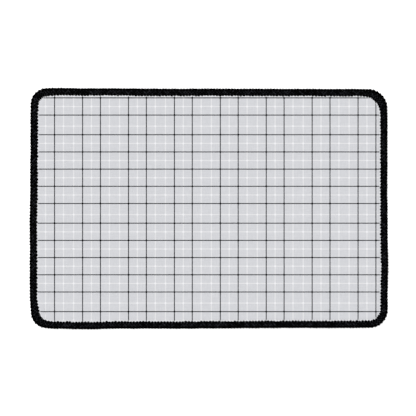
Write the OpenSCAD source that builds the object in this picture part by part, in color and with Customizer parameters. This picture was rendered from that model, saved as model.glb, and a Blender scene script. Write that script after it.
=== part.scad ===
// Printed door mat with an overlocked border.
// The mat is a flat laminate: a printed face cloth, a felt core and a rubber
// backing, held together by two bonding films. A three-thread overlock stitch
// wraps its cut edge. The origin is on the floor under the middle of the mat,
// +X runs along its length and +Z is up. All sizes are in millimetres.

/* [Mat] */
// Length over the stitched border
mat_length = 600; // [400:5:900]
// Width over the stitched border
mat_width = 402; // [280:1:620]
// Corner radius over the stitched border
corner_r = 28; // [20:1:60]

/* [Layers] */
// Thickness of the printed face cloth
face_t = 0.9; // [0.5:0.1:2]
// Thickness of each bonding film
film_t = 0.1; // [0.1:0.05:0.3]
// Thickness of the needle-punched felt core
felt_t = 2.2; // [1:0.1:5]
// Thickness of the rubber backing sheet, without its nubs
rubber_t = 1.2; // [0.8:0.1:3]

/* [Nubs] */
// Height of a moulded grip nub
nub_h = 0.6; // [0.4:0.1:1.5]
// Width of a nub where it meets the sheet
nub_d = 5; // [3:0.5:8]
// Width of a nub's flat foot
nub_foot_d = 3.6; // [2:0.2:6]
// Distance between neighbouring nubs in a row
nub_pitch = 20; // [14:1:40]
// Least distance from a nub to the slope beside the border
nub_clear = 2.5; // [1:0.5:20]

/* [Stitched border] */
// Width of the border, measured inwards from the outline
border_w = 11.8; // [9:0.2:14]
// Thickness of the looper yarns over, under and beyond the cut edge
yarn_t = 1.7; // [1:0.1:2.5]
// Rounding of the yarns' inner edges
yarn_round = 1; // [0.4:0.1:1]
// Share of the layers' thickness that is left where the stitches squeeze them
rim_squeeze = 0.6; // [0.4:0.05:0.9]
// Width of the slope where the layers spring back beside the border
ramp_w = 4; // [3:0.5:5]

/* [Needle thread] */
// Thickness of the needle thread
thread_d = 0.7; // [0.4:0.05:0.8]
// How far the needle thread lies below the looper yarns' surface
thread_sink = 0.15; // [0.05:0.05:0.2]
// Distance from the border's inner edge to the needle line
needle_inset = 1.6; // [1.6:0.1:2.5]

/* [Hidden] */
$fn = 64;

FILM_COLOR = [0.93, 0.92, 0.88];
YARN_COLOR = [0.03, 0.03, 0.035];

// Underside of each layer in the middle of the mat, from the nubs' feet up
rubber_z = nub_h;
backing_film_z = rubber_z + rubber_t;
felt_z = backing_film_z + film_t;
face_film_z = felt_z + felt_t;
face_z = face_film_z + film_t;
mat_top = face_z + face_t;

// Heights in the rim that the stitches squeeze
rim_z = yarn_t;
border_h = in_rim(mat_top) + yarn_t;
border_mid = border_h / 2;

// The height in the rim of what is at height z in the middle
function in_rim(z) = rim_z + (z - rubber_z) * rim_squeeze;

// Insets from the outline
slope_end = border_w + ramp_w;
needle_at = border_w - needle_inset;
nub_margin = slope_end + nub_clear + nub_d / 2;

// Distance between the staggered rows of nubs
nub_row = nub_pitch * sqrt(3) / 2;

// A plate with round corners, inset from the outline
module plate(inset, low, high) {
  long = mat_length - 2 * inset;
  wide = mat_width - 2 * inset;
  r = corner_r - inset;
  translate([0, 0, low]) linear_extrude(high - low) {
    square([long - 2 * r, wide], center = true);
    square([long, wide - 2 * r], center = true);
    for (x = [-1, 1], y = [-1, 1])
      translate([x * (long / 2 - r), y * (wide / 2 - r)]) circle(r);
  }
}

// Carries a section round the outline. In the section, x is the distance
// outwards from the outline, so it is negative inside, and y is the height.
module around_edge() {
  for (side = [0:3]) {
    run = (side % 2 == 0 ? mat_width : mat_length) - 2 * corner_r;
    out = (side % 2 == 0 ? mat_length : mat_width) / 2;
    rotate([0, 0, side * 90]) {
      translate([out, run / 2, 0])
        rotate([90, 0, 0]) linear_extrude(run) children();
      translate([out - corner_r, run / 2, 0])
        rotate_extrude(angle = 90) translate([corner_r, 0]) children();
    }
  }
}

// One layer of the laminate: flat in the middle, sloped beside the border, and
// thinner in the rim that the stitches squeeze
module layer(low, high) {
  plate(slope_end, low, high);
  around_edge()
    polygon([[-slope_end, low], [-border_w, in_rim(low)],
             [-yarn_t, in_rim(low)], [-yarn_t, in_rim(high)],
             [-border_w, in_rim(high)], [-slope_end, high]]);
}

module printed_face() {
  color([0.83, 0.835, 0.85]) layer(face_z, mat_top);
}

module face_film() {
  color(FILM_COLOR) layer(face_film_z, face_z);
}

module felt_core() {
  color([0.72, 0.72, 0.7]) layer(felt_z, face_film_z);
}

module backing_film() {
  color(FILM_COLOR) layer(backing_film_z, felt_z);
}

// Whether a nub at (x, y) is clear of the slope
function nub_fits(x, y) =
  let (dx = abs(x) - (mat_length / 2 - corner_r),
       dy = abs(y) - (mat_width / 2 - corner_r),
       room = corner_r - nub_margin)
  dx > 0 && dy > 0 ? norm([dx, dy]) <= room : max(dx, dy) <= room;

// The backing sheet and its nubs are moulded in one. The nubs stand in
// staggered rows, with one under the middle of the mat.
module rubber_backing() {
  rows = floor(mat_width / 2 / nub_row);
  cols = floor(mat_length / 2 / nub_pitch);
  color([0.09, 0.09, 0.1]) {
    layer(rubber_z, backing_film_z);
    for (j = [-rows:rows], i = [-cols:cols]) {
      x = (i + (j % 2 == 0 ? 0 : 0.5)) * nub_pitch;
      y = j * nub_row;
      if (nub_fits(x, y))
        translate([x, y, 0])
          cylinder(h = nub_h, d1 = nub_foot_d, d2 = nub_d, $fn = 24);
    }
  }
}

// The needle thread's section, just under the surface of the looper yarns
module thread_section() {
  translate([-needle_at, thread_sink + thread_d / 2]) circle(thread_d / 2);
}

// The lower half of the border's section: a flat band under the rim, a wall
// round its cut edge, and an open groove that the needle thread lies in
module lower_yarn_section() {
  difference() {
    union() {
      translate([-border_w + yarn_round, 0])
        square([border_w - yarn_round - yarn_t, rim_z]);
      translate([-border_w, yarn_round])
        square([yarn_round, rim_z - yarn_round]);
      translate([-border_w + yarn_round, yarn_round]) circle(yarn_round);
      intersection() {
        translate([-yarn_t, rim_z]) circle(yarn_t);
        translate([-yarn_t, 0]) square([yarn_t, rim_z]);
      }
      translate([-yarn_t, rim_z]) square([yarn_t, border_mid - rim_z]);
    }
    // The rounding's circle may reach above the flat band
    translate([-border_w, rim_z])
      square([border_w - yarn_t, border_mid - rim_z]);
    thread_section();
    translate([-needle_at - thread_d / 2, 0])
      square([thread_d, thread_sink + thread_d / 2]);
  }
}

// Turns what lies in the border's lower half over into its upper half
module above() {
  translate([0, 0, border_h]) mirror([0, 0, 1]) children();
}

module lower_looper_yarn() {
  color(YARN_COLOR) around_edge() lower_yarn_section();
}

module upper_looper_yarn() {
  color(YARN_COLOR) above() around_edge() lower_yarn_section();
}

// The needle thread runs on both faces of the border
module needle_thread() {
  color(YARN_COLOR) {
    around_edge() thread_section();
    above() around_edge() thread_section();
  }
}

printed_face();
face_film();
felt_core();
backing_film();
rubber_backing();
upper_looper_yarn();
lower_looper_yarn();
needle_thread();
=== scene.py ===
import math
import random

import bmesh
import bpy
import numpy as np
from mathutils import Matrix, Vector


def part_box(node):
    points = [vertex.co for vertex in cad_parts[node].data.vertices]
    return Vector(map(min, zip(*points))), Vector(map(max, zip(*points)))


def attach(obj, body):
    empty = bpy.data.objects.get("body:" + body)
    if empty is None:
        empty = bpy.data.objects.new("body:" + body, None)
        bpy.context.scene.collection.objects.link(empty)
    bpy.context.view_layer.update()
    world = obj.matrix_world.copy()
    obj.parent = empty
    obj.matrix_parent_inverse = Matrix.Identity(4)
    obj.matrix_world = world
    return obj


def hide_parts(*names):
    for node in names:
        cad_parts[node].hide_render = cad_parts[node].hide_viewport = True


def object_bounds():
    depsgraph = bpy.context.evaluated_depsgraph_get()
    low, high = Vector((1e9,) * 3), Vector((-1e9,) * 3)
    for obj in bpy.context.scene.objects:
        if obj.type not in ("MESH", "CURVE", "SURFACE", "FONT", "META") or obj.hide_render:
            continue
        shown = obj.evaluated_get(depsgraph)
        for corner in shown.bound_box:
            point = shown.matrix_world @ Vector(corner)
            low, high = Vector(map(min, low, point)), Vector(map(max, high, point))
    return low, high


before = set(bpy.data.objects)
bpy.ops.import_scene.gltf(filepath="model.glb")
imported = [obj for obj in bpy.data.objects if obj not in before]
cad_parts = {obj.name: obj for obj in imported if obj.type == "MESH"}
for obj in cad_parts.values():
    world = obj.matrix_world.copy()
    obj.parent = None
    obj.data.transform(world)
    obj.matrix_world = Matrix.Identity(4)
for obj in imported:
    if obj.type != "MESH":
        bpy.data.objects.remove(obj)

cad_low, cad_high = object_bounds()
scene = bpy.context.scene
mm = 0.001


# ---- Camera ----------------------------------------------------------------------
# A long lens looks straight down on the mat, with the mat's far long side at the top.
# The mat lies a hair right of and below the middle of the view.

VIEW_WIDTH = 698 * mm
AIM = Vector((-1.3 * mm, 1.1 * mm, cad_high.z))

lens = bpy.data.cameras.new("long_lens")
lens.lens = 100
lens.sensor_width = 36
camera = bpy.data.objects.new("overhead_camera", lens)
camera.location = AIM + Vector((0, 0, VIEW_WIDTH * lens.lens / lens.sensor_width))
scene.collection.objects.link(camera)
scene.camera = camera


# ---- Studio ----------------------------------------------------------------------
# The mat lies on a white table that glows from below, so it throws hardly a shadow.
# The room is white, and one large soft lamp, far off and high up on the left, gives
# the yarn its relief.

TABLE_SIZE = 40.0
LAMP_FROM = Vector((-0.45, 0.5, 1.0))


def linear(colour):
    """An sRGB hex colour as the linear RGBA that a shader takes."""
    channels = [int(colour[i:i + 2], 16) / 255 for i in (1, 3, 5)]
    return [c / 12.92 if c < 0.04045 else ((c + 0.055) / 1.055) ** 2.4 for c in channels] + [1]


def new_material(name, **sockets):
    """A material whose shader's sockets are set by name, and that shader."""
    material = bpy.data.materials.new(name)
    material.use_nodes = True
    shader = material.node_tree.nodes["Principled BSDF"]
    for socket, value in sockets.items():
        shader.inputs[socket.replace("_", " ")].default_value = value
    return material, shader


def add_node(material, kind, inputs, **settings):
    """Adds a node with its settings. inputs gives each socket a value, or another
    node's output to link it to."""
    node = material.node_tree.nodes.new("ShaderNode" + kind)
    for setting, value in settings.items():
        setattr(node, setting, value)
    for socket, value in inputs.items():
        if isinstance(value, bpy.types.NodeSocket):
            material.node_tree.links.new(value, node.inputs[socket])
        else:
            node.inputs[socket].default_value = value
    return node


def link_object(name, mesh, material, smooth=True):
    """Puts a mesh in the scene as an object of that material."""
    mesh.materials.clear()
    mesh.materials.append(material)
    mesh.polygons.foreach_set("use_smooth", [smooth] * len(mesh.polygons))
    piece = bpy.data.objects.new(name, mesh)
    scene.collection.objects.link(piece)
    return piece


# Opal acrylic is milky right through, and its matt top shows no reflections.
opal, _ = new_material("opal_acrylic", Base_Color=linear("#E8E8E8"), Roughness=0.6,
                       Emission_Color=linear("#FFFFFF"), Emission_Strength=0.6)
table_shape = bmesh.new()
bmesh.ops.create_grid(table_shape, x_segments=1, y_segments=1, size=TABLE_SIZE / 2)
table_mesh = bpy.data.meshes.new("light_table")
table_shape.to_mesh(table_mesh)
table_shape.free()
light_table = link_object("light_table", table_mesh, opal)

room = bpy.data.worlds.new("white_room")
room.use_nodes = True
room.node_tree.nodes["Background"].inputs["Color"].default_value = linear("#FFFFFF")
room.node_tree.nodes["Background"].inputs["Strength"].default_value = 0.42
scene.world = room

lamp = bpy.data.lights.new("soft_lamp", "SUN")
lamp.angle = math.radians(30)
lamp.energy = 2.25
lamp_stand = bpy.data.objects.new("soft_lamp", lamp)
lamp_stand.location = LAMP_FROM * 2
lamp_stand.rotation_euler = (-LAMP_FROM).to_track_quat("-Z", "Y").to_euler()
scene.collection.objects.link(lamp_stand)

# Colours are shown as they are, with no film look.
scene.view_settings.view_transform = "Standard"


# ---- Rubber backing ----------------------------------------------------------------
# A sheet of black vulcanised rubber with grip nubs, pressed in one in a blasted
# steel mould. The other layers are bonded over it, and all are cut together by hand,
# so no two corners of the mat are alike and its sides wander a little.

# The corners, counter-clockwise from the near right one: which side of the mat each
# is on in X and Y, the outline's radius, how far it is cut back and how much wider
# the stitched border is there, how far past its middle both are the most, and where
# it strays to in X and Y.
CORNERS = [
    {"at": (1, -1), "radius": 30 * mm, "cut": 0.2 * mm, "wide": 0.8 * mm,
     "past": 0, "stray": (0.6 * mm, 0.8 * mm)},
    {"at": (1, 1), "radius": 31 * mm, "cut": 0.5 * mm, "wide": 3.6 * mm,
     "past": 0, "stray": (-0.1 * mm, -0.2 * mm)},
    {"at": (-1, 1), "radius": 26 * mm, "cut": 0.4 * mm, "wide": 1.7 * mm,
     "past": -5 * mm, "stray": (0.9 * mm, 1.4 * mm)},
    {"at": (-1, -1), "radius": 27 * mm, "cut": 2.5 * mm, "wide": 2.5 * mm,
     "past": -4 * mm, "stray": (-1.2 * mm, -0.8 * mm)},
]
# How far along the edge from there they fade out
CORNER_SPAN = 38 * mm
# The sides, each before its corner above: the border's width as a share of the usual
# one, and hollows (swellings, if negative) as place along the side, depth and span
SIDES = [
    {"width": 1.02, "hollows": [(0.13, -0.95 * mm, 60 * mm), (0.42, -0.35 * mm, 110 * mm),
                               (0.75, 0.3 * mm, 60 * mm)]},
    {"width": 1.02, "hollows": [(0.23, -0.95 * mm, 55 * mm), (0.62, 0.3 * mm, 45 * mm)]},
    {"width": 1.01, "hollows": [(0.63, 0.4 * mm, 60 * mm), (0.97, -0.5 * mm, 50 * mm)]},
    {"width": 1.04, "hollows": [(0.58, -0.55 * mm, 75 * mm), (0.97, 0.6 * mm, 30 * mm)]},
]
# Slow waves of the cut: how many round the mat, and how deep
WAVES = [(23, 0.10 * mm), (57, 0.08 * mm), (131, 0.06 * mm)]
# The usual width of the stitched border
BORDER = 11.8 * mm
# Distances along the edge are taken in the middle of the border.
MIDDLE_LINE = 6 * mm
# The radius of the true outline's corners, as in the CAD
TRUE_RADIUS = 28 * mm
# A sheet's points are moved less and less from here inwards, and not at all from
# twice as far in.
HELD_FROM = 20 * mm

half_size = np.array([cad_high.x, cad_high.y])


def headings(angle):
    """The way the edge runs at an angle and the way inwards from it, as rows."""
    angle = np.asarray(angle, float)
    ahead = np.stack([np.cos(angle), np.sin(angle)], -1)
    inward = np.stack([-np.sin(angle), np.cos(angle)], -1)
    return ahead, inward


# The edge is a chain of runs, each a side and then its corner. Every run has its
# place on the hand-cut outline, and on the true one.
edge_runs = []
local_cuts = []
width_places = []
edge_length = 0.0
for number, (corner, side) in enumerate(zip(CORNERS, SIDES)):
    last = CORNERS[number - 1]
    turn = number * math.pi / 2
    ahead, inward = headings(turn)
    centre = np.array(corner["at"]) * (half_size - corner["radius"])
    last_centre = np.array(last["at"]) * (half_size - last["radius"])
    start = last_centre - inward * last["radius"]
    straight = float(np.dot(centre - inward * corner["radius"] - start, ahead))
    true_start = np.array(last["at"]) * (half_size - TRUE_RADIUS) - inward * TRUE_RADIUS
    edge_runs.append({"from": edge_length, "long": straight, "start": start, "turn": turn,
                      "true_start": true_start,
                      "true_long": 2 * abs(np.dot(half_size - TRUE_RADIUS, ahead))})
    local_cuts += [(edge_length + place * straight, depth, span)
                   for place, depth, span in side["hollows"]]
    width_places += [(edge_length, side["width"]), (edge_length + straight, side["width"])]
    edge_length += straight
    bend = (corner["radius"] - MIDDLE_LINE) * math.pi / 2
    edge_runs.append({"from": edge_length, "long": bend, "centre": centre, "turn": turn,
                      "radius": corner["radius"],
                      "true_centre": np.array(corner["at"]) * (half_size - TRUE_RADIUS)})
    corner["widest"] = edge_length + bend / 2 + corner["past"]
    local_cuts.append((corner["widest"], corner["cut"], CORNER_SPAN))
    edge_length += bend


def nearness(along, place, span):
    """1 at a place on the edge, and down to 0 at span from it."""
    away = np.abs((along - place + edge_length / 2) % edge_length - edge_length / 2)
    return 0.5 + 0.5 * np.cos(np.pi * np.clip(away / span, 0, 1))


def on_mat(along, inset, height):
    """Points on the mat, as rows, from their distance along the edge, their
    distance in from it, and their height."""
    along = np.asarray(along, float) % edge_length
    inset = np.broadcast_to(np.asarray(inset, float), along.shape).copy()
    height = np.broadcast_to(np.asarray(height, float), along.shape)
    inset *= np.interp(along, *np.array(width_places).T, period=edge_length)
    for corner in CORNERS:
        share = nearness(along, corner["widest"], CORNER_SPAN)
        inset *= 1 + share * corner["wide"] / BORDER
    for place, depth, span in local_cuts:
        inset += depth * nearness(along, place, span)
    for number, (waves, depth) in enumerate(WAVES):
        inset += depth * np.sin(2 * np.pi * waves * along / edge_length + 2 * number)
    flat = np.zeros(along.shape + (2,))
    for run in edge_runs:
        here = (along >= run["from"]) & (along <= run["from"] + run["long"])
        gone = along[here] - run["from"]
        if "radius" in run:
            _, inward = headings(run["turn"] + gone / run["long"] * math.pi / 2)
            flat[here] = run["centre"] - inward * (run["radius"] - inset[here])[:, None]
        else:
            ahead, inward = headings(run["turn"])
            flat[here] = run["start"] + gone[:, None] * ahead + inset[here][:, None] * inward
    stray = np.zeros_like(flat)
    for corner in CORNERS:
        share = 0.5 + 0.5 * np.array(corner["at"]) * flat / half_size
        stray += share[:, :1] * share[:, 1:] * np.array(corner["stray"])
    return np.column_stack([flat + stray, height])


def cut_by_hand(points):
    """Points of a sheet with the true outline, as rows, moved to the hand-cut one."""
    moved = points.copy()
    least = np.full(len(points), np.inf)
    for run in edge_runs:
        if "radius" in run:
            arm = points[:, :2] - run["true_centre"]
            angle = (np.arctan2(arm[:, 0], -arm[:, 1]) - run["turn"]) % (2 * math.pi)
            share = angle / (math.pi / 2)
            inset = TRUE_RADIUS - np.linalg.norm(arm, axis=1)
        else:
            ahead, inward = headings(run["turn"])
            arm = points[:, :2] - run["true_start"]
            share = arm @ ahead / run["true_long"]
            inset = arm @ inward
        here = (share >= -1e-6) & (share <= 1 + 1e-6) & (inset < least)
        if "radius" in run:
            here &= inset < TRUE_RADIUS
        least[here] = inset[here]
        place = on_mat(run["from"] + np.clip(share[here], 0, 1) * run["long"], inset[here],
                       points[here, 2])
        hold = np.clip(1 - (inset[here] - HELD_FROM) / HELD_FROM, 0, 1)[:, None]
        moved[here] = points[here] + hold * (place - points[here])
    return moved


def closed_mesh(name, shape):
    """The mesh of a closed bmesh, with its faces turned outwards. Frees the bmesh."""
    bmesh.ops.recalc_face_normals(shape, faces=shape.faces)
    mesh = bpy.data.meshes.new(name)
    shape.to_mesh(mesh)
    shape.free()
    return mesh


def cut_layer(name, node, material):
    """A layer of the mat: a merged copy of its CAD mesh, cut to the hand-cut outline."""
    shape = bmesh.new()
    shape.from_mesh(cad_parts[node].data)
    bmesh.ops.remove_doubles(shape, verts=shape.verts, dist=0.001 * mm)
    moved = cut_by_hand(np.array([v.co for v in shape.verts]))
    for v, place in zip(shape.verts, moved):
        v.co = place
    layer = link_object(name, closed_mesh(name, shape), material, smooth=False)
    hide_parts(node)
    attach(layer, "root")
    return layer


# Carbon black makes the rubber nearly black, and the mould leaves it dull.
rubber, rubber_shader = new_material("vulcanised_rubber", Base_Color=linear("#1E1E20"),
                                     Roughness=0.72, IOR=1.52)
# The blasted mould leaves pits about 0.4 mm across.
rubber_place = add_node(rubber, "TexCoord", {}).outputs["Object"]
rubber_pits = add_node(rubber, "TexNoise", {"Vector": rubber_place, "Scale": 1 / (0.4 * mm),
                                            "Detail": 3.0}).outputs[0]
rubber_bump = add_node(rubber, "Bump", {"Height": rubber_pits, "Strength": 0.5,
                                        "Distance": 0.05 * mm})
rubber.node_tree.links.new(rubber_bump.outputs[0], rubber_shader.inputs["Normal"])
cut_layer("rubber_sheet", "rubber_backing", rubber)


# ---- Bonding films -----------------------------------------------------------------
# Two hot-melt webs, ironed between the layers, hold the laminate together. They are
# thin, milky and slightly uneven, and only show where the layers are peeled apart.

# The melted web is off-white, with the dim gloss of wax.
hot_melt, hot_melt_shader = new_material("hot_melt_web", Base_Color=linear("#E8E4DA"),
                                         Roughness=0.45, IOR=1.5)
# The molten web gathers in blobs about 3 mm apart.
web_place = add_node(hot_melt, "TexCoord", {}).outputs["Object"]
web_blobs = add_node(hot_melt, "TexVoronoi", {"Vector": web_place, "Scale": 1 / (3 * mm)})
web_bump = add_node(hot_melt, "Bump", {"Height": web_blobs.outputs["Distance"],
                                       "Strength": 0.4, "Distance": 0.05 * mm})
hot_melt.node_tree.links.new(web_bump.outputs[0], hot_melt_shader.inputs["Normal"])
cut_layer("lower_film", "backing_film", hot_melt)
cut_layer("upper_film", "face_film", hot_melt)


# ---- Felt core ---------------------------------------------------------------------
# Grey polyester felt, needle-punched: barbed needles tangle the loose fibre into a
# sheet. It gives the mat its body, and the stitching squeezes its rim flat.

# Felt has no gloss, only a faint sheen from the loose fibre on top.
felt, felt_shader = new_material("needled_felt", Roughness=0.95, Sheen_Weight=0.2)
# The tufts between the needle marks are about 1.5 mm across.
felt_place = add_node(felt, "TexCoord", {}).outputs["Object"]
felt_tufts = add_node(felt, "TexNoise", {"Vector": felt_place, "Scale": 1 / (1.5 * mm),
                                         "Detail": 6.0}).outputs[0]
felt_shade = add_node(felt, "Mix", {"Factor": felt_tufts, "A": linear("#A9A9A4"),
                                    "B": linear("#C4C4BF")}, data_type="RGBA")
felt_bump = add_node(felt, "Bump", {"Height": felt_tufts, "Strength": 0.6,
                                    "Distance": 0.3 * mm})
felt.node_tree.links.new(felt_shade.outputs["Result"], felt_shader.inputs["Base Color"])
felt.node_tree.links.new(felt_bump.outputs[0], felt_shader.inputs["Normal"])

felt_sheet = cut_layer("felt_sheet", "felt_core", felt)


# ---- Printed face ------------------------------------------------------------------
# The face is brushed polyester cloth with a windowpane check printed by dye
# sublimation. The stitches pull its edge down, and pucker it a little at each
# needle hole.

# The length of a stitch along each side: the machine was fed faster up the left.
STITCHES = [5.11 * mm, 5.24 * mm, 5.05 * mm, 5.49 * mm]
CORNER_STITCH = 5.2 * mm
# How far in the cloth's flat middle begins, and the slope down to the rim
MIDDLE_FROM = 20 * mm
SLOPE_FROM = 15.8 * mm
# The cloth's upper side from the flat middle outwards, then its cut edge, as inset,
# share of the fall from the mat's top to the rim's, and pucker
CLOTH_UPPER = [(MIDDLE_FROM, 0, 0), (17.6 * mm, 0, 0.02 * mm), (SLOPE_FROM, 0.07, 0.05 * mm),
               (14.4 * mm, 0.26, 0.08 * mm), (13.2 * mm, 0.69, 0.09 * mm),
               (12.2 * mm, 0.92, 0.05 * mm), (11.0 * mm, 1, 0), (9.5 * mm, 1, 0),
               (2.4 * mm, 1, 0), (1.9 * mm, 1.15, 0)]
# Four points to a stitch are enough to show the pucker.
STITCH_POINTS = 4
# The middle's cells along X and Y, about 20 mm each
CELLS = (29, 19)
# The middle swells by up to twice this, over this far from its edge, in soft rolls.
SWELL = 0.12 * mm
SWELL_SPAN = 40 * mm
SWELL_ROLL = (31 * mm, 27 * mm)

needle_holes = [0.0]
for number, run in enumerate(edge_runs):
    step = CORNER_STITCH if "radius" in run else STITCHES[number // 2]
    while needle_holes[-1] + step / 2 < run["from"] + run["long"]:
        needle_holes.append(needle_holes[-1] + step)
# The last hole meets the first.
stitch_count = len(needle_holes) - 1
needle_holes = np.array(needle_holes) * edge_length / needle_holes[-1]


def stitched(stitches):
    """The distance along the edge of places given in stitches."""
    stitches = np.asarray(stitches, float)
    rounds = np.floor(stitches / stitch_count)
    return rounds * edge_length + np.interp(stitches - rounds * stitch_count,
                                            np.arange(stitch_count + 1), needle_holes)


def carry_round(section, closed):
    """A bmesh of a section, a list of inset, height and pucker, carried round the
    mat, and the edges of its first and last loops. Closed joins those two."""
    shape = bmesh.new()
    stitch_layer = shape.verts.layers.float.new("stitches")
    bmesh.ops.create_circle(shape, segments=STITCH_POINTS * stitch_count, radius=1)
    for i, v in enumerate(sorted(shape.verts, key=lambda v: math.atan2(v.co.y, v.co.x))):
        v[stitch_layer] = (i + 0.5) / STITCH_POINTS
    verts = list(shape.verts)
    loop = first_loop = list(shape.edges)
    for number, (inset, height, pucker) in enumerate(section):
        if number:
            made = bmesh.ops.extrude_edge_only(shape, edges=loop)["geom"]
            verts = [g for g in made if isinstance(g, bmesh.types.BMVert)]
            loop = [g for g in made if isinstance(g, bmesh.types.BMEdge)]
        stitches = np.array([v[stitch_layer] for v in verts])
        lift = pucker * np.cos(2 * np.pi * stitches)
        for v, place in zip(verts, on_mat(stitched(stitches), inset, height + lift)):
            v.co = place
    if closed:
        bmesh.ops.bridge_loops(shape, edges=first_loop + loop)
    return shape, first_loop, loop


face_low, face_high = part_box("printed_face")
border_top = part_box("upper_looper_yarn")[1].z
border_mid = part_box("upper_looper_yarn")[0].z
# How far the yarns stand off the squeezed rim, over it and beyond its cut edge
yarn_space = cad_high.x - face_high.x
rim_top = border_top - yarn_space
rim_low = face_low.z
mat_top = face_high.z
cloth_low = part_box("face_film")[1].z

cloth_section = [(inset, mat_top - fall * (mat_top - rim_top), pucker)
                 for inset, fall, pucker in CLOTH_UPPER]
cloth_section += [(yarn_space, rim_low + 0.15 * mm, 0), (yarn_space, rim_low, 0),
                  (BORDER, rim_low, 0), (SLOPE_FROM, cloth_low, 0),
                  (MIDDLE_FROM, cloth_low, 0)]
cloth_shape, upper_loop, lower_loop = carry_round(cloth_section, closed=False)
bmesh.ops.edgeloop_fill(cloth_shape, edges=lower_loop)
middle = bmesh.ops.edgeloop_fill(cloth_shape, edges=upper_loop)["faces"]

# The middle is cut into cells, so that it can swell a little.
geometry = list(middle) + list(middle[0].edges) + list(middle[0].verts)
for axis, count in enumerate(CELLS):
    for step in range(1, count):
        cut = Vector((0, 0, 0))
        cut[axis] = (2 * step / count - 1) * half_size[axis]
        across = Vector((0, 0, 0))
        across[axis] = 1
        geometry = bmesh.ops.bisect_plane(cloth_shape, geom=geometry, plane_co=cut,
                                          plane_no=across)["geom"]
for v in {v for g in geometry if isinstance(g, bmesh.types.BMFace) for v in g.verts}:
    inside = min(half_size[0] - abs(v.co.x), half_size[1] - abs(v.co.y)) - MIDDLE_FROM
    rise = min(max(inside / SWELL_SPAN, 0), 1)
    v.co.z += SWELL * rise * (1 + math.sin(v.co.x / SWELL_ROLL[0] + 1)
                              * math.sin(v.co.y / SWELL_ROLL[1] + 2))

# The check, in millimetres: where it starts, how long a repeat is, and the lines in
# one. Along X a repeat is a wide and a narrow pane, along Y a tall pane and four low
# ones. Black lines part the panes, and white ones divide them.
CHECK_X = {"start": -27.7, "repeat": 77.07, "black": [0, 47.1], "white": [15.0, 32.1, 62.0]}
CHECK_Y = {"start": -24.4, "repeat": 148.5, "black": [0, 33.0, 61.9, 90.75, 119.6],
           "white": [14.4, 47.4, 76.3, 105.2, 134.0]}
# How wide a line is, and the spot that the ink spreads to where two lines cross. The
# spot is rounded, and the ink's edge is soft.
LINE = 1.68
CROSSING = 2.9
ROUNDING = 1.2
BLEED = 0.25
# The ink of a line of each colour, and of its crossings
INKS = {"white": ("#E5E5E7", "#F1F1F4"), "black": ("#343539", "#030304")}

# Dye sublimation puts the colour into the fibre, so the print adds no gloss.
print_cloth, print_shader = new_material("sublimation_printed_polyester", Roughness=0.9,
                                         Specular_IOR_Level=0.2, Sheen_Weight=0.05)
cloth_place = add_node(print_cloth, "TexCoord", {}).outputs["Object"]
place_in_mm = add_node(print_cloth, "VectorMath", {0: cloth_place, 3: 1 / mm},
                       operation="SCALE")
axes = add_node(print_cloth, "SeparateXYZ", {0: place_in_mm.outputs[0]}).outputs


def nearest_line(coordinate, check, colour):
    """The distance to the nearest line of a colour among those across one axis."""
    nearest = None
    for line in check[colour]:
        middle = check["start"] + line
        half = check["repeat"] / 2
        wrapped = add_node(print_cloth, "Math", {0: coordinate, 1: middle + half,
                                                 2: middle - half}, operation="WRAP")
        off = add_node(print_cloth, "Math", {0: wrapped.outputs[0], 1: middle},
                       operation="SUBTRACT")
        away = add_node(print_cloth, "Math", {0: off.outputs[0]}, operation="ABSOLUTE")
        if nearest:
            away = add_node(print_cloth, "Math", {0: nearest.outputs[0],
                                                  1: away.outputs[0]},
                            operation="MINIMUM")
        nearest = away
    return nearest.outputs[0]


# Brushed fibre varies the ground. Real fibres are far too fine to show, so the
# mottle is drawn at 2.5 mm.
mottle = add_node(print_cloth, "TexNoise", {"Vector": cloth_place, "Scale": 1 / (2.5 * mm),
                                            "Detail": 4.0}).outputs[0]
shade = add_node(print_cloth, "Mix", {"Factor": mottle, "A": linear("#D5D6DA"),
                                      "B": linear("#DADBDF")}, data_type="RGBA")
# Under the nap the cloth is woven. Thick yarns show as faint streaks both ways, and
# are drawn 2 mm apart for the same reason.
for stretch in ((1 / (15 * mm), 1 / (2 * mm), 1), (1 / (2 * mm), 1 / (15 * mm), 1)):
    drawn_out = add_node(print_cloth, "Mapping", {"Vector": cloth_place, "Scale": stretch})
    slubs = add_node(print_cloth, "TexNoise", {"Vector": drawn_out.outputs[0],
                                               "Scale": 1.0, "Detail": 2.0})
    streaks = add_node(print_cloth, "MapRange", {"Value": slubs.outputs[0],
                                                 "From Min": 0.4, "From Max": 0.7})
    shade = add_node(print_cloth, "Mix", {"Factor": streaks.outputs[0],
                                          "A": shade.outputs["Result"],
                                          "B": linear("#D1D2D6")}, data_type="RGBA")
for colour, (line_ink, crossing_ink) in INKS.items():
    across = nearest_line(axes["X"], CHECK_X, colour)
    up = nearest_line(axes["Y"], CHECK_Y, colour)
    for operation, width, ink in (("MINIMUM", LINE, line_ink),
                                  ("SMOOTH_MAX", CROSSING, crossing_ink)):
        away = add_node(print_cloth, "Math", {0: across, 1: up, 2: ROUNDING},
                        operation=operation)
        inked = add_node(print_cloth, "MapRange",
                         {"Value": away.outputs[0], "From Min": (width - BLEED) / 2,
                          "From Max": (width + BLEED) / 2, "To Min": 1.0, "To Max": 0.0},
                         interpolation_type="SMOOTHSTEP")
        shade = add_node(print_cloth, "Mix", {"Factor": inked.outputs[0],
                                              "A": shade.outputs["Result"],
                                              "B": linear(ink)}, data_type="RGBA")
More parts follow.
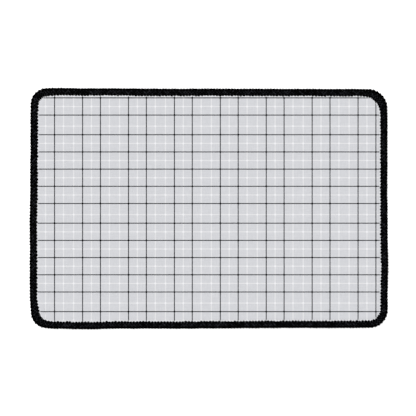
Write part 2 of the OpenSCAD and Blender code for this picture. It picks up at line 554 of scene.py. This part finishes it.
# Where the stitching pulls the cloth down, its slope is painted paler: a painted highlight
# along the border.
painted_rim_highlight = add_node(print_cloth, "MapRange", {"Value": axes["Z"], "From Min": rim_top / mm,
                                            "From Max": mat_top / mm - 0.3,
                                            "To Min": 0.7, "To Max": 0.0})
shade = add_node(print_cloth, "Mix", {"Factor": painted_rim_highlight.outputs[0],
                                      "A": shade.outputs["Result"],
                                      "B": linear("#F4F5F8")}, data_type="RGBA")
print_cloth.node_tree.links.new(shade.outputs["Result"], print_shader.inputs["Base Color"])
# The nap's relief is drawn at 1 mm, for the same reason.
nap = add_node(print_cloth, "TexNoise", {"Vector": cloth_place, "Scale": 1 / (1 * mm),
                                         "Detail": 3.0}).outputs[0]
nap_bump = add_node(print_cloth, "Bump", {"Height": nap, "Strength": 0.25,
                                          "Distance": 0.1 * mm})
print_cloth.node_tree.links.new(nap_bump.outputs[0], print_shader.inputs["Normal"])

printed_cloth = link_object("printed_cloth", closed_mesh("printed_cloth", cloth_shape),
                            print_cloth)
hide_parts("printed_face")
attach(printed_cloth, "root")


# ---- Looper yarns ------------------------------------------------------------------
# Two bulky black polyester yarns, looped over and under the cut edge by an overlock
# machine. Each runs from a needle hole out to the edge, back along it, and in to the
# next hole, under and over its neighbours. A near-black bed of loose filaments and painted
# shade fills the gaps between.

YARN_WIDTH = 2.4 * mm
YARN_THICKNESS = 0.9 * mm
YARN_SIDES = 6
# The radius that the stitches squeeze the cut edge to
EDGE_ROUND = 0.8 * mm
# A stitch's waypoints: place along the edge in stitches from the needle hole,
# distance over the edge and lift off the rim in mm, and how full the yarn is there
LOOP = [
    (-0.16, 10.6, 0.95, 0.85),   # round the needle thread
    (0.00, 11.0, 0.85, 0.80),
    (0.18, 10.6, 0.70, 0.85),
    (0.50, 8.1, 0.45, 1.00),     # out, under the first leg in
    (1.00, 5.7, 1.40, 1.05),     # over the second
    (1.50, 3.3, 0.80, 1.00),     # under the third
    (1.84, 1.7, 1.50, 1.00),     # over the edge
    (1.95, 0.5, 2.00, 0.95),
    (1.80, 0.0, 1.40, 0.85),
    (0.50, 0.1, 1.10, 0.85),     # back along it
    (-0.88, 0.1, 1.15, 0.80),
    (-0.95, 0.9, 1.25, 0.80),
    (-0.50, 3.3, 1.45, 1.00),    # in, over
    (0.00, 5.7, 0.45, 1.05),     # under
    (0.50, 8.1, 1.40, 1.00),     # and over
]
# How unlike the others a stitch may be: how late in stitches, how long as a share, how
# high in mm, and how full
UNEVEN = (0.07, 0.045, 0.2, 0.15)
# Round the far left corner the yarn is fed loose, and its turns run together: there,
# past the needle thread, they draw back by one share and fill out by the other.
LOOSE_SPAN = 28 * mm
NEEDLE_LINE = 9.5
DRAWN_BACK = 0.4
FILLED_OUT = 0.5
# Where the loops leave the edge's turn, and where they lie flat
FLAT_FROM = 0.6 * mm
FLAT_BY = 3.0 * mm
# The bed of loose filaments and painted shade in the gaps: distance over the edge and lift in
# mm, closed
BED = [(-0.2, 0.05), (-0.2, 0.8), (0.7, 0.8), (1.3, 0.8), (2.2, 0.6), (6.0, 0.4),
       (9.8, 0.3), (10.25, 0.05), (6.0, 0.02), (2.2, 0.02), (1.3, 0.05), (0.7, 0.05)]

# Distances up the cut edge from its middle, to where it begins and ends to be round
wall_top = rim_top - EDGE_ROUND - border_mid
round_top = wall_top + EDGE_ROUND * math.pi / 2


def over_edge(distance, lift):
    """The inset and height of points over the rim's upper half. Distance is taken
    up the cut edge from its middle, round, and then inwards over the rim."""
    distance = np.asarray(distance, float)
    lift = np.asarray(lift, float)
    angle = np.clip((distance - wall_top) / EDGE_ROUND, 0, math.pi / 2)
    reach = EDGE_ROUND + lift
    inset = (yarn_space + EDGE_ROUND - reach * np.cos(angle)
             + np.maximum(distance - round_top, 0))
    height = (rim_top - EDGE_ROUND + reach * np.sin(angle)
              + np.minimum(distance - wall_top, 0))
    return inset, height


def sweep_flat(name, rows, width, thickness, sides):
    """The mesh of an oval swept along rows of X, Y, Z and fullness."""
    outline = bpy.data.curves.new(name + "_section", "CURVE")
    outline.dimensions = "2D"
    ring = outline.splines.new("POLY")
    ring.points.add(sides - 1)
    for i, point in enumerate(ring.points):
        angle = 2 * math.pi * i / sides
        point.co = (width / 2 * math.cos(angle), thickness / 2 * math.sin(angle), 0, 1)
    ring.use_cyclic_u = True
    section = bpy.data.objects.new(name + "_section", outline)
    scene.collection.objects.link(section)
    path = bpy.data.curves.new(name, "CURVE")
    path.dimensions = "3D"
    path.twist_mode = "Z_UP"
    path.bevel_mode = "OBJECT"
    path.bevel_object = section
    line = path.splines.new("POLY")
    line.points.add(len(rows) - 1)
    line.points.foreach_set("co", np.column_stack([rows[:, :3], np.ones(len(rows))]).ravel())
    line.points.foreach_set("radius", rows[:, 3])
    swept = bpy.data.objects.new(name, path)
    scene.collection.objects.link(swept)
    bpy.context.view_layer.update()
    swept_now = swept.evaluated_get(bpy.context.evaluated_depsgraph_get())
    mesh = bpy.data.meshes.new_from_object(swept_now)
    mesh.name = name
    for spent in (swept, section):
        bpy.data.objects.remove(spent)
    return mesh


def wind_yarn(name, waypoints, width, thickness, sides, material, under):
    """A yarn along waypoints, rows of distance along the edge, distance over it,
    lift and fullness, once round the mat. It is swept flat, then laid over the
    upper or under the lower half of the rim, and its ends are joined."""
    # The path overlaps itself by a waypoint at each end, so that the joined rings
    # face the same way.
    once_round = [edge_length, 0, 0, 0]
    rows = np.vstack([waypoints[-1:] - once_round, waypoints, waypoints[:2] + once_round])
    mesh = sweep_flat(name, rows, width, thickness, sides)
    points = np.zeros(3 * len(mesh.vertices))
    mesh.vertices.foreach_get("co", points)
    points = points.reshape(-1, 3)
    # The map's U is made the distance along the yarn. Its V is the turn round it.
    steps = np.linalg.norm(np.diff(rows[:, :3], axis=0), axis=1)
    travelled = np.concatenate([[0], np.cumsum(steps)])
    mesh.uv_layers[0].name = "along_yarn"
    corners = np.zeros(len(mesh.loops), int)
    mesh.loops.foreach_get("vertex_index", corners)
    yarn_map = np.zeros(2 * len(mesh.loops))
    mesh.uv_layers[0].data.foreach_get("uv", yarn_map)
    yarn_map[0::2] = travelled[corners // sides]
    mesh.uv_layers[0].data.foreach_set("uv", yarn_map)
    # How high each point rides on the flat of the border. This sets where the yarn is painted
    # paler as a highlight, and darker as shade.
    crest = mesh.attributes.new("crest", "FLOAT", "POINT")
    on_flat = np.clip((points[:, 1] - FLAT_FROM) / (FLAT_BY - FLAT_FROM), 0, 1)
    crest.data.foreach_set("value", on_flat * points[:, 2] / yarn_space)

    inset, height = over_edge(points[:, 1], points[:, 2])
    # Feet and the floor have pressed the border flat.
    height = np.minimum(height, border_top)
    if under:
        height = 2 * border_mid - height
    mesh.vertices.foreach_set("co", on_mat(points[:, 0], inset, height).ravel())

    shape = bmesh.new()
    shape.from_mesh(mesh)
    shape.verts.ensure_lookup_table()
    overlap = shape.verts[:sides] + shape.verts[-sides:]
    bmesh.ops.delete(shape, geom=overlap, context="VERTS")
    bmesh.ops.remove_doubles(shape, verts=shape.verts, dist=0.001 * mm)
    bmesh.ops.recalc_face_normals(shape, faces=shape.faces)
    shape.to_mesh(mesh)
    shape.free()
    return link_object(name, mesh, material)


def looper_waypoints(seed):
    """The waypoints of all the stitches, each a little unlike the last."""
    hand = random.Random(seed)
    loose = nearness(needle_holes, CORNERS[2]["widest"] - LOOSE_SPAN / 2, LOOSE_SPAN)
    rows = []
    for number in range(stitch_count):
        late, long, high, bulk = (hand.uniform(-most, most) for most in UNEVEN)
        for place, distance, lift, full in LOOP:
            beyond = loose[number] * max(0, distance - NEEDLE_LINE)
            reach = distance * (1 + long) - DRAWN_BACK * beyond
            rows.append((number + place + late, reach * mm, (lift + high) * mm,
                         full + bulk + FILLED_OUT * beyond))
    rows = np.array(rows)
    rows[:, 0] = stitched(rows[:, 0])
    return rows


# Bulked polyester swallows light: it looks nearly black and matt. Its crests are painted paler
# as a highlight, and its hollows near black as painted shade.
yarn_black, yarn_shader = new_material("bulked_polyester_yarn", Roughness=0.75,
                                       Specular_IOR_Level=0.015)
crest_height = add_node(yarn_black, "Attribute", {}, attribute_name="crest").outputs["Fac"]
painted_crest_highlight = add_node(yarn_black, "MapRange", {"Value": crest_height, "From Min": 0.75,
                                           "From Max": 1.0}).outputs[0]
yarn_place = add_node(yarn_black, "TexCoord", {}).outputs["Object"]
# The painted highlight is brighter on some loops than on others.
highlight_noise = add_node(yarn_black, "TexNoise", {"Vector": yarn_place, "Scale": 1 / (6 * mm),
                                         "Detail": 1.0})
highlight_patches = add_node(yarn_black, "MapRange", {"Value": highlight_noise.outputs[0], "From Min": 0.4,
                                         "From Max": 0.7})
highlight_colour = add_node(yarn_black, "Mix", {"Factor": highlight_patches.outputs[0], "A": linear("#0B0C0E"),
                                    "B": linear("#2B2C31")}, data_type="RGBA")
yarn_shade = add_node(yarn_black, "Mix", {"Factor": painted_crest_highlight, "A": linear("#010101"),
                                          "B": highlight_colour.outputs["Result"]}, data_type="RGBA")
yarn_black.node_tree.links.new(yarn_shade.outputs["Result"],
                               yarn_shader.inputs["Base Color"])


def add_twist(material, shader, plies, lay, depth):
    """Gives a yarn's material the relief of its plies, twisted once in lay."""
    turn_map = add_node(material, "UVMap", {}, uv_map="along_yarn").outputs[0]
    turn = add_node(material, "SeparateXYZ", {0: turn_map}).outputs
    twist = add_node(material, "Math", {0: turn["X"], 1: 1 / lay, 2: turn["Y"]},
                     operation="MULTIPLY_ADD")
    angle = add_node(material, "Math", {0: twist.outputs[0], 1: plies * 2 * math.pi},
                     operation="MULTIPLY")
    ply = add_node(material, "Math", {0: angle.outputs[0]}, operation="SINE")
    relief = add_node(material, "Bump", {"Height": ply.outputs[0], "Strength": 0.7,
                                         "Distance": depth})
    material.node_tree.links.new(relief.outputs[0], shader.inputs["Normal"])


add_twist(yarn_black, yarn_shader, plies=2, lay=5 * mm, depth=0.12 * mm)

for name, node, seed, under in (("upper_yarn", "upper_looper_yarn", 3, False),
                                ("lower_yarn", "lower_looper_yarn", 8, True)):
    loops = wind_yarn(name + "_loops", looper_waypoints(seed), YARN_WIDTH, YARN_THICKNESS,
                      YARN_SIDES, yarn_black, under)
    # The bed has no crests, so it takes the near-black colour of painted shade.
    insets, heights = over_edge(*(np.array(BED).T * mm))
    if under:
        heights = 2 * border_mid - heights
    bed_shape, _, _ = carry_round([(i, h, 0) for i, h in zip(insets, heights)], closed=True)
    bed = link_object(name + "_bed", closed_mesh(name + "_bed", bed_shape), yarn_black)
    for piece in (loops, bed):
        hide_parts(node)
        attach(piece, "root")


# ---- Needle thread -----------------------------------------------------------------
# A thin spun polyester thread, black like the yarns, sewn with them in one pass. It
# runs from hole to hole over their inner turns, and at each hole it dips through all
# the layers to the underside and comes back up.

THREAD = 0.7 * mm
THREAD_SIDES = 5
# A stitch's waypoints: place along the edge in stitches, lift off the rim in mm, and
# how full the thread is there
THREAD_TOP = [(0.04, 0.4, 0.9), (0.10, 1.30, 1.0), (0.50, 1.35, 1.0), (0.90, 1.30, 1.0),
              (0.94, 0.4, 0.9)]
# The same under the rim, with the lift off its underside
THREAD_UNDER = [(0.94, -0.6, 0.9), (0.88, -1.25, 1.0), (1.04, -1.25, 1.0),
                (1.02, -0.6, 0.9)]

rim_thickness = 2 * (rim_top - border_mid) / mm
thread_hand = random.Random(5)
thread_rows = []
for number in range(stitch_count):
    late = thread_hand.uniform(-0.04, 0.04)
    for place, lift, full in THREAD_TOP:
        thread_rows.append((number + place + late, NEEDLE_LINE * mm, lift * mm, full))
    for place, lift, full in THREAD_UNDER:
        thread_rows.append((number + place + late, NEEDLE_LINE * mm,
                            (lift - rim_thickness) * mm, full))
thread_rows = np.array(thread_rows)
thread_rows[:, 0] = stitched(thread_rows[:, 0])

# Spun thread is fuzzy with fibre ends, so it is as matt as the yarns.
thread_black, thread_shader = new_material("spun_polyester_thread",
                                           Base_Color=linear("#060608"), Roughness=0.7,
                                           Specular_IOR_Level=0.02)
add_twist(thread_black, thread_shader, plies=3, lay=2 * mm, depth=0.05 * mm)
needle_stitches = wind_yarn("needle_stitches", thread_rows, THREAD, THREAD, THREAD_SIDES,
                            thread_black, under=False)
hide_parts("needle_thread")
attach(needle_stitches, "root")


# ---- Scene update ------------------------------------------------------------------
# The view layer is brought up to date.

bpy.context.view_layer.update()
